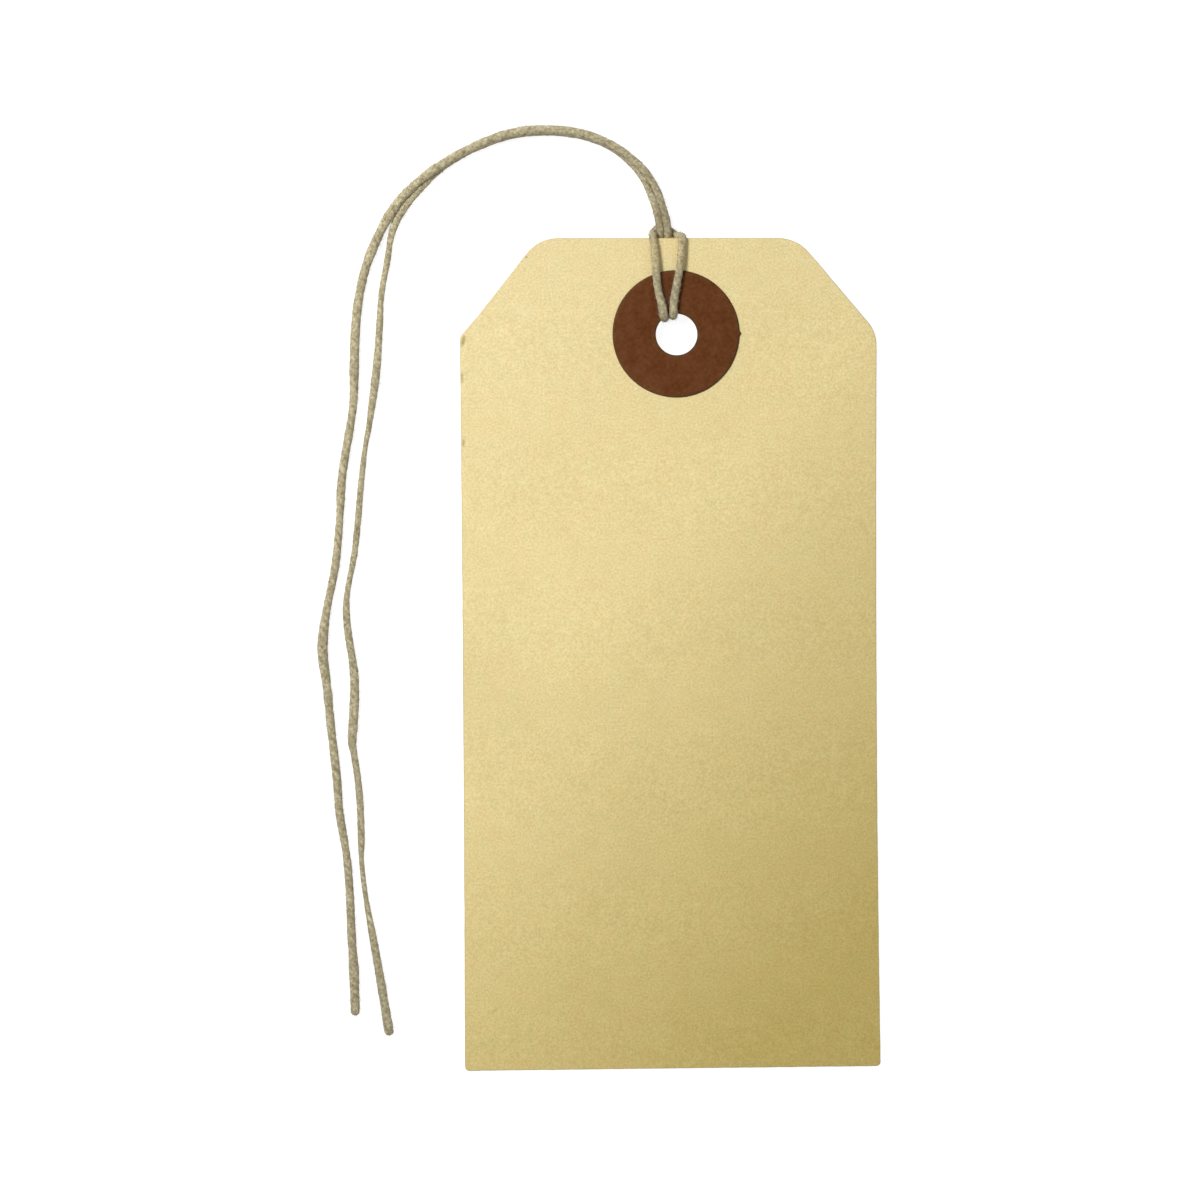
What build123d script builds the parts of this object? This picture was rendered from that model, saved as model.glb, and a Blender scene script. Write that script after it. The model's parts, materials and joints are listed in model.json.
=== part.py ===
from build123d import *
import os
from math import atan, cos, degrees, pi, radians, sqrt, tan

# A manila gift tag with a fibre patch glued on each side of its eyelet and a doubled string hitched
# through it. Millimetres. The tag lies face up on a table, with +Z up and +Y towards the eyelet.
# The origin is on the table, under the middle of the card.

# Card
CARD_LENGTH = 95.25
CARD_WIDTH = 47.72
CARD_THICKNESS = 0.33
SIDE_WAIST = 0.18
CLIP_WIDTH = 9.1
LEFT_CLIP_LENGTH = 11.6
RIGHT_CLIP_LENGTH = 10.8
SHOULDER_RADIUS = 5.2
CLIP_FOOT_RADIUS = 1.5
FOOT_CORNER_RADIUS = 0.5

# Eyelet and the two patches that strengthen it
EYELET_DIAMETER = 4.76
EYELET_DROP = 11.05
EYELET_SHIFT = 0.95
PATCH_DIAMETER = 14.6
PATCH_THICKNESS = 0.25

# String, and the gap that a strand keeps from what it lies on
STRING_DIAMETER = 0.9
STRING_GAP = 0.05

# Hitch: places across the card are from the eyelet's centre, and reaches are past the top edge
LEFT_STRAND_IN_EYELET = -1.5
RIGHT_STRAND_IN_EYELET = -0.35
LEFT_STRAND_AT_EDGE = -1.5
RIGHT_STRAND_AT_EDGE = -0.5
LEFT_LEG_TOP = -2.87
RIGHT_LEG_TOP = 0.8
LEFT_BIGHT_CORNER = -2.75
RIGHT_BIGHT_CORNER = 0.6
NECK_MIDDLE = -1.42
EDGE_REACH = 0.15
LEG_REACH = 0.5
CROSSING_REACH = 1.2
BIGHT_REACH = 1.5
NECK_REACH = 2.1

# Heights of a strand's centre over the table, as shares of the string's diameter
TABLE_LIFT_SHARE = 0.52
NECK_LIFT_SHARE = 1.67

# How much of the shorter run each arc of a string's path takes up, at either end of that run
ARC_SHARE = 0.45

# Tails: points from each strand's own neck, to the right and towards the eyelet in millimetres,
# and the height of the strand's centre in string diameters
OUTER_TAIL_ROUTE = [
    (0.0, 0.0, 1.67),
    (0.0, 1.1, 1.67),
    (-0.6, 3.0, 1.67),
    (-1.8, 5.0, 1.63),
    (-3.6, 6.9, 1.58),
    (-6.2, 8.7, 1.57),
    (-9.6, 10.1, 1.57),
    (-13.6, 10.6, 1.58),
    (-17.8, 10.3, 1.57),
    (-21.8, 8.9, 1.58),
    (-25.6, 6.9, 1.57),
    (-28.6, 4.5, 1.45),
    (-31.0, 2.0, 0.85),
    (-33.1, -1.1, 0.52),
    (-34.9, -5.3, 0.52),
    (-35.9, -10.3, 0.52),
    (-36.1, -16.1, 0.52),
    (-36.0, -21.7, 0.52),
    (-37.4, -28.3, 0.52),
    (-38.2, -39.3, 0.52),
    (-39.6, -45.1, 0.52),
    (-40.0, -49.5, 0.52),
    (-39.3, -54.3, 0.52),
    (-38.5, -61.0, 0.52),
    (-38.1, -68.0, 0.52),
    (-37.1, -73.9, 0.52),
    (-36.6, -82.6, 0.52),
    (-36.4, -91.0, 0.52),
]
INNER_TAIL_ROUTE = [
    (0.0, 0.0, 1.67),
    (0.0, 1.1, 1.67),
    (-0.6, 2.9, 1.3),
    (-1.6, 4.6, 0.88),
    (-3.1, 6.4, 0.56),
    (-5.5, 8.3, 0.52),
    (-8.8, 9.7, 0.52),
    (-12.7, 10.2, 0.52),
    (-16.8, 9.9, 0.52),
    (-20.7, 8.5, 0.52),
    (-24.4, 6.5, 0.52),
    (-27.2, 4.2, 0.52),
    (-29.2, 1.5, 0.52),
    (-30.6, -1.3, 0.52),
    (-31.7, -6.1, 0.52),
    (-32.3, -11.3, 0.52),
    (-32.4, -15.9, 0.52),
    (-33.3, -22.1, 0.52),
    (-34.4, -28.1, 0.52),
    (-34.8, -34.9, 0.52),
    (-35.7, -40.5, 0.52),
    (-36.4, -44.7, 0.52),
    (-35.9, -48.9, 0.52),
    (-35.3, -52.7, 0.52),
    (-35.6, -57.9, 0.52),
    (-34.9, -64.3, 0.52),
    (-34.7, -74.8, 0.52),
    (-33.0, -84.2, 0.52),
    (-31.5, -93.3, 0.52),
]

# Sizes that follow from the ones above
half_width = CARD_WIDTH / 2
eyelet_radius = EYELET_DIAMETER / 2
eyelet_along = CARD_LENGTH - EYELET_DROP
string_radius = STRING_DIAMETER / 2
front_strand_height = CARD_THICKNESS + PATCH_THICKNESS + STRING_GAP + string_radius
back_strand_depth = PATCH_THICKNESS + STRING_GAP + string_radius
eyelet_turn_radius = (front_strand_height + back_strand_depth) / 2
neck_spacing = STRING_DIAMETER + STRING_GAP

# The strands behind the eyelet hold that end of the card off the table, and its foot edge rests there
eyelet_rise = PATCH_THICKNESS + STRING_GAP + STRING_DIAMETER
card_lean = degrees(atan(eyelet_rise / eyelet_along))
card_top = CARD_LENGTH * cos(radians(card_lean)) / 2
card_seat = Pos(0, -card_top, 0) * Rot(card_lean, 0, 0)


def card_point(across, along, above):
    """A point given from the middle of the card's foot edge, in the leaning card's own directions."""
    return (card_seat * Pos(across, along, above)).position


def make_card():
    """The die-cut card: square foot, sides drawn in a little, clipped shoulders and the eyelet's hole."""
    left_foot = (-half_width, 0)
    right_foot = (half_width, 0)
    right_clip_foot = (half_width, CARD_LENGTH - RIGHT_CLIP_LENGTH)
    right_shoulder = (half_width - CLIP_WIDTH, CARD_LENGTH)
    left_shoulder = (CLIP_WIDTH - half_width, CARD_LENGTH)
    left_clip_foot = (-half_width, CARD_LENGTH - LEFT_CLIP_LENGTH)
    edges = Line(left_foot, right_foot)
    edges += SagittaArc(right_foot, right_clip_foot, SIDE_WAIST)
    edges += Polyline(right_clip_foot, right_shoulder, left_shoulder, left_clip_foot)
    edges += SagittaArc(left_clip_foot, left_foot, SIDE_WAIST)
    outline = make_face(edges)
    outline = fillet(outline.vertices().sort_by(Axis.Y)[-2:], SHOULDER_RADIUS)
    outline = fillet(outline.vertices().sort_by(Axis.Y)[2:4], CLIP_FOOT_RADIUS)
    outline = fillet(outline.vertices().sort_by(Axis.Y)[:2], FOOT_CORNER_RADIUS)
    outline -= Pos(EYELET_SHIFT, eyelet_along) * Circle(eyelet_radius)
    return card_seat * extrude(outline, CARD_THICKNESS)


def make_patch(height):
    """A fibre washer glued round the eyelet, with its lower face at the given height over the card's back."""
    ring = Circle(PATCH_DIAMETER / 2) - Circle(eyelet_radius)
    return card_seat * Pos(EYELET_SHIFT, eyelet_along, height) * extrude(ring, PATCH_THICKNESS)


def arc_radii(points):
    """The radius at each corner of a string's path, as large as the shorter run beside it allows."""
    runs = [end - start for start, end in zip(points, points[1:])]
    radii = []
    for before, after in zip(runs, runs[1:]):
        half_turn = radians(before.get_angle(after)) / 2
        radii.append(ARC_SHARE * min(before.length, after.length) / tan(half_turn))
    return radii


def make_string(name, points):
    """A round string along straight runs joined by tangent arcs, with its radii and volume printed."""
    radii = arc_radii(points)
    path = FilletPolyline(*points, radius=radii)
    section = Plane(origin=path @ 0, z_dir=path % 0) * Circle(string_radius)
    string = sweep(section, path=path)
    plain_volume = pi * string_radius**2 * path.length
    print(name, "length", round(path.length, 2), "volume share", round(string.volume / plain_volume, 5))
    print(name, "radii", [round(radius, 2) for radius in radii])
    return string


def neck_point(side):
    """Where a strand leaves the hitch: side is -1 for the left strand and 1 for the right one."""
    across = EYELET_SHIFT + NECK_MIDDLE + side * neck_spacing / 2
    return Vector(across, card_top + NECK_REACH, NECK_LIFT_SHARE * STRING_DIAMETER)


def hitch_half(side, in_eyelet, at_edge, leg_top, bight_corner):
    """One strand of the hitch, from its neck down the back, through the eyelet and up the front to the bight."""
    neck = neck_point(side)
    crossing = Vector(neck.X, card_top + CROSSING_REACH, neck.Z)
    rim_along = eyelet_along + sqrt(eyelet_radius**2 - in_eyelet**2)
    turn_along = rim_along - eyelet_turn_radius
    table_height = TABLE_LIFT_SHARE * STRING_DIAMETER
    return [
        neck,
        crossing,
        card_point(EYELET_SHIFT + at_edge, CARD_LENGTH + EDGE_REACH, -back_strand_depth),
        card_point(EYELET_SHIFT + in_eyelet, turn_along, -back_strand_depth),
        card_point(EYELET_SHIFT + in_eyelet, turn_along, front_strand_height),
        card_point(EYELET_SHIFT + leg_top, CARD_LENGTH + LEG_REACH, front_strand_height),
        Vector(EYELET_SHIFT + bight_corner, card_top + BIGHT_REACH, table_height),
    ]


def make_hitch():
    """The loop: both strands through the eyelet, joined by the bight that passes under the two tails."""
    left = hitch_half(-1, LEFT_STRAND_IN_EYELET, LEFT_STRAND_AT_EDGE, LEFT_LEG_TOP, LEFT_BIGHT_CORNER)
    right = hitch_half(1, RIGHT_STRAND_IN_EYELET, RIGHT_STRAND_AT_EDGE, RIGHT_LEG_TOP, RIGHT_BIGHT_CORNER)
    return make_string("string_hitch", left + right[::-1])


def make_tail(name, side, route):
    """A free tail, from its neck at the hitch to its cut end on the table."""
    neck = neck_point(side)
    points = [Vector(neck.X + right, neck.Y + up, lift * STRING_DIAMETER) for right, up, lift in route]
    last_run = points[-1] - points[-2]
    end = [round(value, 3) for value in points[-1]]
    direction = [round(value, 5) for value in last_run.normalized()]
    print(name, "end", end, "direction", direction, "straight", round((1 - ARC_SHARE) * last_run.length, 3))
    return make_string(name, points)


pieces = {
    "tag_card": make_card(),
    "front_patch": make_patch(CARD_THICKNESS),
    "rear_patch": make_patch(-PATCH_THICKNESS),
    "string_hitch": make_hitch(),
    "string_outer_tail": make_tail("string_outer_tail", 1, OUTER_TAIL_ROUTE),
    "string_inner_tail": make_tail("string_inner_tail", -1, INNER_TAIL_ROUTE),
}

os.makedirs("parts", exist_ok=True)
for node, piece in pieces.items():
    export_step(piece, f"parts/{node}.step")

neck_middle = (neck_point(-1) + neck_point(1)) / 2
print("card lean", round(card_lean, 3), "neck", [round(value, 3) for value in neck_middle])
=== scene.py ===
import json
import math

import bmesh
import bpy
import numpy as np
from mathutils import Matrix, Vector, noise
from mathutils.geometry import delaunay_2d_cdt


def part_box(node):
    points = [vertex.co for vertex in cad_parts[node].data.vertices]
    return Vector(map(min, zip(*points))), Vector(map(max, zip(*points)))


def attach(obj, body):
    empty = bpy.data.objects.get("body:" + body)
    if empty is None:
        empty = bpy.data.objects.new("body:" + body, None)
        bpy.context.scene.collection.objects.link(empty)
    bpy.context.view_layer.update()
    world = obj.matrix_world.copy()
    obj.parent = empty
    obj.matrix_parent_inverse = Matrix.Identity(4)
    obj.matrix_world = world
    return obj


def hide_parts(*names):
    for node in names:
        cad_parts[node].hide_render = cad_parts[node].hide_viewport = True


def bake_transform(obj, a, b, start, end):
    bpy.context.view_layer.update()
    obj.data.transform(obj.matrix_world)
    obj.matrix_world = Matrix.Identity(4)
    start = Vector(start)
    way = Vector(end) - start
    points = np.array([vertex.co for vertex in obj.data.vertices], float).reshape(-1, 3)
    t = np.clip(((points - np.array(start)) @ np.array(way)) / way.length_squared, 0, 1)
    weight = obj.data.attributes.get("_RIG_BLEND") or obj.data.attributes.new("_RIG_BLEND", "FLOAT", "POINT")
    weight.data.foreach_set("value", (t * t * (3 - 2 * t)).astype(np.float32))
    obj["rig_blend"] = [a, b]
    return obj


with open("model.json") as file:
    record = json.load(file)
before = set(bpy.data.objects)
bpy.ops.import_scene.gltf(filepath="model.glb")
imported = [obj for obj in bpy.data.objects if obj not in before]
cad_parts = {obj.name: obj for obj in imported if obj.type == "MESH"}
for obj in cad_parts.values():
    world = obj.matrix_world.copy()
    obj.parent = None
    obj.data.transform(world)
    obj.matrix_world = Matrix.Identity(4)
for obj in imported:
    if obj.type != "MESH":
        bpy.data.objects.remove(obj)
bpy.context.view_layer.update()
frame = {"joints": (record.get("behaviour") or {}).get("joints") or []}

bl_info = {
    "name": "Manila gift tag",
    "version": (1, 0, 0),
    "blender": (4, 5, 0),
    "location": "3D View > Sidebar > Gift tag",
    "description": "Dresses a die-cut manila tag with fibre patches and a twisted cotton string",
    "category": "Object",
}

# Sizes are in metres. A length below is written in millimetres times MM.
MM = 0.001

# Where the card lies, read from the frame. Its foot edge is on the table and the strands behind
# the eyelet hold its other end up.
CARD_THICKNESS = 0.33 * MM
card_low, card_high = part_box("tag_card")
patch_low, patch_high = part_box("front_patch")
card_rise = card_high.z - CARD_THICKNESS
card_reach = card_high.y - card_low.y
CARD_LEAN = math.atan2(card_rise, card_reach)
CARD_LENGTH = math.hypot(card_rise, card_reach)
CARD_WIDTH = card_high.x - card_low.x
FOOT_Y = card_high.y - CARD_LENGTH * math.cos(CARD_LEAN)
PATCH_DIAMETER = patch_high.x - patch_low.x
PATCH_THICKNESS = patch_high.z - patch_low.z - PATCH_DIAMETER * math.sin(CARD_LEAN)
EYELET_ACROSS = (patch_low.x + patch_high.x) / 2
EYELET_ALONG = ((patch_low.y + patch_high.y) / 2 - FOOT_Y) / math.cos(CARD_LEAN)

# String route, in millimetres in the frame. The strands' necks stand side by side where they leave
# the hitch.
STRING_DIAMETER = 0.9
LEFT_NECK = (-0.945, 49.72)
RIGHT_NECK = (0.005, 49.72)

# Past the neck each strand stays with the hitch for a short length, over which it bends from the card to
# the tails. The rest of it is a tail.
NECK_TURN = Vector(frame["joints"][0]["pos_m"])
NECK_LENGTH = 3.3 * MM
BLEND_LENGTH = 3.0 * MM

# Points from each strand's own neck: to the right and towards the eyelet in millimetres, the girth as a
# share of the diameter and, off the table, the height of the strand's centre in string diameters. On the
# table that height is a share of the girth.
TABLE_LIFT_SHARE = 0.5852
OUTER_TAIL_ROUTE = [
    (-0.17, 0.0, 0.93, 1.67),
    (-0.46, 1.1, 0.93, 1.67),
    (-1.0, 2.96, 0.9, 1.6),
    (-1.94, 4.84, 0.88, 1.45),
    (-3.5, 6.69, 0.86, 1.34),
    (-6.13, 8.64, 0.92, 1.38),
    (-9.6, 10.0, 1.05, 1.49),
    (-13.6, 10.5, 1.08, 1.51),
    (-17.8, 10.17, 1.08, 1.51),
    (-21.76, 8.76, 1.04, 1.49),
    (-25.54, 6.78, 0.98, 1.4),
    (-28.66, 4.58, 1.0, 1.15),
    (-31.1, 2.1, 1.1, 0.96),
    (-33.0, -1.1, 1.14, 0.69),
    (-34.8, -5.3, 1.08),
    (-35.78, -10.3, 1.08),
    (-36.05, -16.1, 1.15),
    (-36.08, -20.2, 0.98),
    (-36.4, -22.7, 0.96),
    (-37.38, -28.0, 1.02),
    (-37.67, -30.8, 1.05),
    (-37.74, -33.2, 0.9),
    (-38.17, -38.2, 0.94),
    (-38.52, -40.5, 0.98),
    (-39.35, -44.1, 0.92),
    (-39.84, -47.6, 1.23),
    (-39.9, -49.6, 1.23),
    (-39.35, -53.4, 1.06),
    (-39.02, -57.6, 0.97),
    (-38.4, -62.8, 1.04),
    (-38.2, -65.6, 1.0),
    (-38.07, -68.0, 1.01),
    (-37.2, -72.7, 0.91),
    (-36.86, -78.0, 1.0),
    (-36.8, -81.4, 1.0),
    (-36.45, -86.3, 1.18),
    (-36.38, -91.0, 1.06),
]
INNER_TAIL_ROUTE = [
    (-0.06, 0.0, 0.93, 1.67),
    (-0.28, 1.1, 0.93, 1.67),
    (-0.9, 2.9, 0.92, 1.3),
    (-1.68, 4.76, 0.86, 0.88),
    (-3.0, 6.51, 0.85, 0.56),
    (-5.32, 8.5, 0.85),
    (-8.7, 9.86, 0.85),
    (-12.7, 10.31, 0.85),
    (-16.84, 9.99, 0.85),
    (-20.8, 8.61, 0.84),
    (-24.52, 6.62, 0.85),
    (-27.2, 4.14, 0.94),
    (-29.5, 1.5, 1.03),
    (-30.8, -1.3, 0.82),
    (-31.16, -4.3, 0.74),
    (-31.95, -8.0, 0.72),
    (-32.12, -11.4, 0.79),
    (-32.4, -15.6, 0.94),
    (-32.7, -18.4, 1.0),
    (-33.15, -21.4, 0.84),
    (-33.42, -23.4, 0.66),
    (-33.95, -25.9, 0.65),
    (-34.45, -30.5, 0.74),
    (-34.9, -35.6, 0.78),
    (-35.27, -38.6, 0.76),
    (-36.07, -42.2, 0.67),
    (-36.24, -44.6, 0.84),
    (-35.97, -47.4, 0.9),
    (-35.3, -51.4, 0.98),
    (-35.25, -54.0, 1.09),
    (-35.45, -57.6, 1.16),
    (-35.66, -59.7, 0.98),
    (-35.36, -61.1, 0.79),
    (-34.75, -65.6, 0.83),
    (-34.6, -70.8, 0.85),
    (-34.68, -73.2, 0.6),
    (-34.17, -77.6, 0.61),
    (-33.4, -81.8, 0.9),
    (-32.4, -87.6, 1.04),
    (-31.5, -93.3, 1.11),
]

# The hitch from the left strand's neck to the right one's: down the back, through the eyelet, up the
# front, round the top edge, behind both tails and back the same way. Places are in millimetres in
# the frame, and the last value is the girth.
HITCH_ROUTE = [
    (-0.90, 48.90, 1.52, 0.93),
    (-0.87, 48.30, 1.28, 0.93),
    (-0.84, 47.65, 0.82, 0.93),
    (-0.68, 46.20, 0.56, 0.93),
    (-0.40, 40.40, 0.49, 0.93),
    (-0.32, 38.42, 0.47, 1.0),
    (-0.52, 38.52, 2.30, 1.05),
    (-0.70, 39.90, 2.26, 0.98),
    (-1.12, 41.40, 2.28, 0.94),
    (-1.32, 43.00, 2.31, 0.92),
    (-1.40, 45.20, 2.24, 0.92),
    (-1.64, 47.20, 2.16, 0.92),
    (-1.78, 47.98, 2.02, 0.92),
    (-1.55, 48.40, 1.02, 0.92),
    (-1.08, 48.84, 0.52, 0.9),
    (-0.50, 48.78, 0.44, 0.9),
    (0.30, 48.56, 0.44, 0.9),
    (1.00, 47.90, 0.62, 0.92),
    (1.58, 47.86, 1.18, 0.92),
    (1.73, 47.56, 2.06, 0.92),
    (1.64, 47.20, 2.16, 0.92),
    (1.50, 45.20, 2.24, 0.92),
    (1.20, 43.20, 2.31, 0.92),
    (0.80, 41.30, 2.28, 0.94),
    (0.60, 39.90, 2.26, 0.96),
    (0.62, 38.74, 2.28, 1.05),
    (0.45, 38.74, 0.49, 1.0),
    (0.48, 40.40, 0.49, 0.93),
    (0.24, 46.20, 0.56, 0.93),
    (0.05, 47.65, 0.82, 0.93),
    (0.00, 48.30, 1.28, 0.93),
    (-0.04, 48.90, 1.52, 0.93),
]

# Marks on the card: the middle and the reach of each in millimetres in the frame, its turn in radians and
# its depth. Most are stains and nicks; the first three, on the left edge, are nicks and dirt with painted
# shade of the worn edge, and the last one is a broad painted shade over the left side.
MARKS_AND_PAINTED_SHADE = [
    ((-23.48, 36.0), (0.36, 0.95), -0.2, 0.52),
    ((-23.66, 31.8), (0.30, 0.95), 0.0, 0.36),
    ((-23.54, 24.3), (0.28, 0.75), 0.0, 0.42),
    ((-16.18, 45.5), (0.20, 0.20), 0.0, 0.5),
    ((-16.4, 44.1), (0.28, 0.28), 0.0, 0.18),
    ((-20.45, -40.9), (0.65, 0.18), 0.72, 0.24),
    ((8.05, 24.9), (0.15, 0.40), -0.3, 0.16),
    ((20.9, 25.7), (0.35, 0.14), 0.5, 0.14),
    ((-22.0, -5.2), (11.0, 12.0), 0.0, 0.065),
]

# Painted light and a darker neck, written as the card's marks are: the yarn is painted lighter and yellower
# over the hitch, for light that the card bounces onto it, and is darker at the neck above it.
PAINTED_BOUNCE_LIGHT = ((-0.1, 46.0), (3.4, 3.2), 0.0, 0.6)
# Yarn darker at the neck.
DARKER_NECK_YARN = ((-0.75, 49.9), (2.4, 2.4), 0.0, 0.34)

# A mark keeps its full depth over this share of its reach.
MARK_CORE_SHARE = 0.2

# Finish of the manila stock. A layer of grain is (features a metre, detail, amount), a tint is what each
# of red, green and blue takes of a change, and the shade stops are where the stock's three colours lie from
# its upper left to its lower right; these colours paint light and shade over the card. Streaks are the
# loose fibres in the sheet.
STOCK_SHADE_STOPS = (-70 * MM, -14 * MM, 56 * MM)
STOCK_GRAIN = [(70, 2, 0.06), (300, 2, 0.05), (700, 2, 0.11), (4300, 2, 0.58)]
STOCK_GRAIN_TINT = (0.88, 1.0, 1.5)
STOCK_CLOUDS = [(500, 3, 0.08)]
STOCK_CLOUD_TINT = (1.0, -0.5, -1.3)
STREAK_TURNS = (0.35, 1.25, 2.2)
STREAK_SCALE = (260, 2300, 900)
STREAK_LEVEL = 0.62
STREAK_DEPTH = 0.22

# Finish of the fibre patches.
FIBRE_GRAIN = [(220, 3, 0.5), (900, 4, 1.0), (2600, 2, 1.0)]
FIBRE_GRAIN_TINT = (0.62, 1.0, 1.95)
FIBRE_CLOUDS = [(600, 2, 0.08)]
FIBRE_CLOUD_TINT = (1.0, -0.6, -2.5)

# Finish of the cotton: features a metre along the yarn, the stretch of its fibres and of its blotches
# across and along it, its specks, how much soil lies all over, how much painted shade lies in the grooves
# and how much soil lies in the blotches.
YARN_FEATURES = 700.0
YARN_FIBRE_STRETCH = (5.0, 5.0, 0.8)
YARN_BLOTCH_STRETCH = (0.8, 0.8, 0.5)
YARN_SPECKS = [(3200, 2, 1.7)]
YARN_TINT = (0.94, 1.0, 1.28)
EVEN_SOIL = 0.15
# Painted shade in the grooves between the plies.
GROOVE_SHADE = 0.2
BLOTCH_SOIL = 1.1
YARN_FIBRE_CHANGE = 0.75

# Shapes of the sheets: features a metre of their waves, cut lines and faces, the layers of the noise that
# waves and cut lines are read from, how far from the foot edge the card lies flat, how a skewed edge is
# shared between its two ends, the steps of a rounded cut edge, and how far the grid of points keeps from
# the edges as a share of its spacing.
COCKLE_FEATURES = 45
CARD_CUT_FEATURES = 900
PATCH_CUT_FEATURES = 400
PATCH_FACE_FEATURES = 700
COCKLE_LAYER = 0.3
CUT_LAYER = 3.7
FLAT_FOOT = 18 * MM
LEFT_SKEW_SHARE = 0.4
RIGHT_SKEW_SHARE = 0.6
CUT_EDGE_STEPS = 3
GRID_CLEAR_SHARE = 0.6

# Shapes of the string: steps between two points of its line, points round each ply, features a metre of
# its twist and of its lumps, what its ends taper from, a little over 1 so that they stay blunt, and the
# loose fibres' bend, largest lean in radians and lowest root over the table.
LINE_STEPS = 24
POINTS_PER_PLY = 8
TWIST_FEATURES = 230.0
LUMP_FEATURES = 420.0
BLUNT_END = 1.02
FIBRE_BEND = 0.6
FIBRE_LEAN = 1.25
FIBRE_CLEAR = 0.45 * MM

# Picture place: the picture's middle, its width over the table and the turn of the card in it.
PICTURE_MIDDLE = (-8.01 * MM, 6.21 * MM)
PICTURE_WIDTH = 137.80 * MM
PICTURE_TURN = -0.0064
SENSOR_WIDTH = 36.0

# Grey of the floor for light that bounces off it onto the object.
PLAIN_FLOOR = 0.8


def srgb(red, green, blue):
    """A colour given in display steps from 0 to 255, as Blender's linear colour."""
    linear = []
    for step in (red, green, blue):
        level = step / 255
        linear.append(level / 12.92 if level <= 0.04045 else ((level + 0.055) / 1.055) ** 2.4)
    return (*linear, 1.0)


def grey(level):
    """A linear grey as a colour."""
    return (level, level, level, 1.0)


def size(name, description, default):
    """A length that a user can change."""
    return bpy.props.FloatProperty(
        name=name, description=description, default=default, min=0.0, unit="LENGTH", precision=5)


def share(name, description, default):
    """A part of one that a user can change."""
    return bpy.props.FloatProperty(
        name=name, description=description, default=default, min=0.0, max=1.0, subtype="FACTOR")


def power(name, description, default):
    """A lamp's power that a user can change."""
    return bpy.props.FloatProperty(
        name=name, description=description, default=default, min=0.0, unit="POWER")


def number(name, description, default):
    """A whole number that a user can change."""
    return bpy.props.IntProperty(name=name, description=description, default=default, min=0)


def location(name, description, default):
    """A place that a user can change."""
    return bpy.props.FloatVectorProperty(
        name=name, description=description, default=default, size=3, subtype="TRANSLATION")


def colour(name, description, default):
    """A colour that a user can change."""
    return bpy.props.FloatVectorProperty(
        name=name, description=description, default=default, size=4, min=0.0, max=1.0, subtype="COLOR")


class CardLook(bpy.types.PropertyGroup):
    """Sizes and colours of the card."""

    left_clip_width: size("Left clip width", "How far the left clipped corner reaches across", 9.1 * MM)
    right_clip_width: size("Right clip width", "How far the right clipped corner reaches across", 9.07 * MM)
    left_clip: size("Left clip", "How far the left clipped corner reaches down the side", 11.18 * MM)
    right_clip: size("Right clip", "How far the right clipped corner reaches down the side", 10.94 * MM)
    bend_across: size("Bend across", "How far in from the side the left clip bends", 2.2 * MM)
    bend_along: size("Bend along", "How far below the top edge the left clip bends", 8.66 * MM)
    bend_radius: size("Bend radius", "Rounding of the bend in the left clip", 6.0 * MM)
    shoulder_radius: size("Shoulder radius", "Rounding where a clip meets the top edge", 4.7 * MM)
    left_clip_radius: size("Left clip radius", "Rounding where the left clip meets its side", 1.0 * MM)
    right_clip_radius: size("Right clip radius", "Rounding where the right clip meets its side", 4.2 * MM)
    corner_radius: size("Corner radius", "Rounding of the two square corners", 0.5 * MM)
    left_waist: size("Left waist", "How far the left side is drawn in at its middle", 0.09 * MM)
    right_waist: size("Right waist", "How far the right side is drawn in at its middle", 0.23 * MM)
    foot_skew: size("Foot skew", "How much further up the right end of the foot edge is cut", 0.25 * MM)
    top_skew: size("Top skew", "How much further down the right end of the top edge is cut", 0.18 * MM)
    edge_rounding: size("Edge rounding", "Roll of the cut edge on the face", 0.09 * MM)
    edge_waver: size("Edge waver", "Unevenness of the cut line", 0.025 * MM)
    cockle: size("Cockle", "Height of the slow waves in the sheet", 0.05 * MM)
    grid: size("Grid", "Spacing of the sheet's points", 0.75 * MM)
    # Painted light and shade: these three colours even out the lamp's hot spot at the upper left and darken
    # and yellow the stock towards the lower right, as the light fell over the card.
    upper: colour("Upper stock", "Colour of the stock at its upper left corner", srgb(215, 198, 149))
    middle: colour("Middle stock", "Colour of the stock at its middle", srgb(228, 209, 151))
    lower: colour("Lower stock", "Colour of the stock at its lower right corner", srgb(198, 177, 106))
    cut: colour("Cut edge", "Colour of the cut edge", srgb(196, 172, 118))
    # Colour of the stains and nicks, and of the painted shade on the worn left edge and over the left side.
    stain_and_shade: colour("Stain", "Colour of the handling marks", srgb(104, 88, 40))


class PatchLook(bpy.types.PropertyGroup):
    """Sizes and colours of the two fibre patches."""

    eyelet_diameter: size("Eyelet", "Diameter of the punched hole", 4.76 * MM)
    edge_rounding: size("Edge rounding", "Roll of the patch's cut edge", 0.23 * MM)
    edge_waver: size("Edge waver", "Unevenness of the cut line", 0.03 * MM)
    nib_height: size("Nib", "Height of the burr that the die left on the rim", 0.2 * MM)
    nib_width: size("Nib width", "Width of that burr along the rim", 0.45 * MM)
    off_centre: size("Off centre", "How far left and up of the eyelet the patches are glued", 0.065 * MM)
    unevenness: size("Unevenness", "Relief of the fibre's face", 0.012 * MM)
    grid: size("Grid", "Spacing of the patch's points", 0.4 * MM)
    fibre: colour("Fibre", "Colour of the fibre's face", srgb(94, 54, 26))
    cut: colour("Cut edge", "Colour of the cut rim", srgb(88, 62, 38))


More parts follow.
